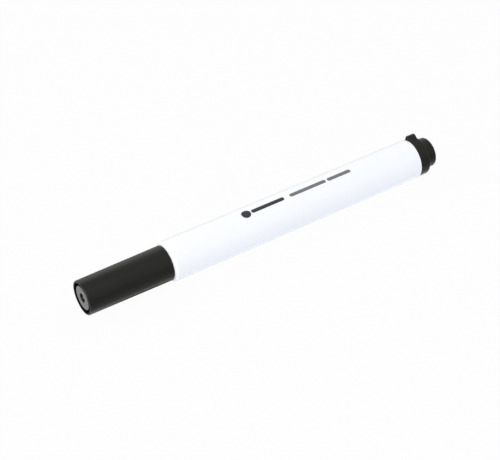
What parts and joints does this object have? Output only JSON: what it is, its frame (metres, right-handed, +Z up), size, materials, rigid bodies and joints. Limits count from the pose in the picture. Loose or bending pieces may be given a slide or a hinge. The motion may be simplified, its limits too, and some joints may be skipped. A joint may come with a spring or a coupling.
{
  "type": "whiteboard marker",
  "caption": "Slim capped whiteboard marker: white barrel, black pull-off cap and black end plug with an anti-roll tab.",
  "frame": {"origin": "middle of the marker's length, on the line where the barrel rests on a table", "axes": "+X along the marker's axis from the cap towards the end plug, +Z up through the anti-roll tab"},
  "size_m": [0.1352, 0.0138, 0.0152],
  "materials": {
    "white_plastic": "satin moulded polypropylene",
    "black_plastic": "satin moulded polypropylene",
    "seal_plastic": "satin moulded polyethylene, black",
    "nib_felt": "pressed fibre soaked with black ink",
    "core_fibre": "bonded fibre soaked with black ink",
    "wrap_film": "smooth film"
  },
  "bodies": {
    "barrel": {"barrel": "white_plastic", "nib_holder": "white_plastic", "nib": "nib_felt", "ink_reservoir": "core_fibre", "reservoir_film": "wrap_film", "end_plug": "black_plastic"},
    "cap": {"cap_shell": "black_plastic", "cap_inner_seal": "seal_plastic"}
  },
  "joints": [
    {"name": "cap_slide", "type": "slide", "parent": "barrel", "child": "cap", "axis": [-1, 0, 0], "range_m": [0, 0.04]}
  ]
}
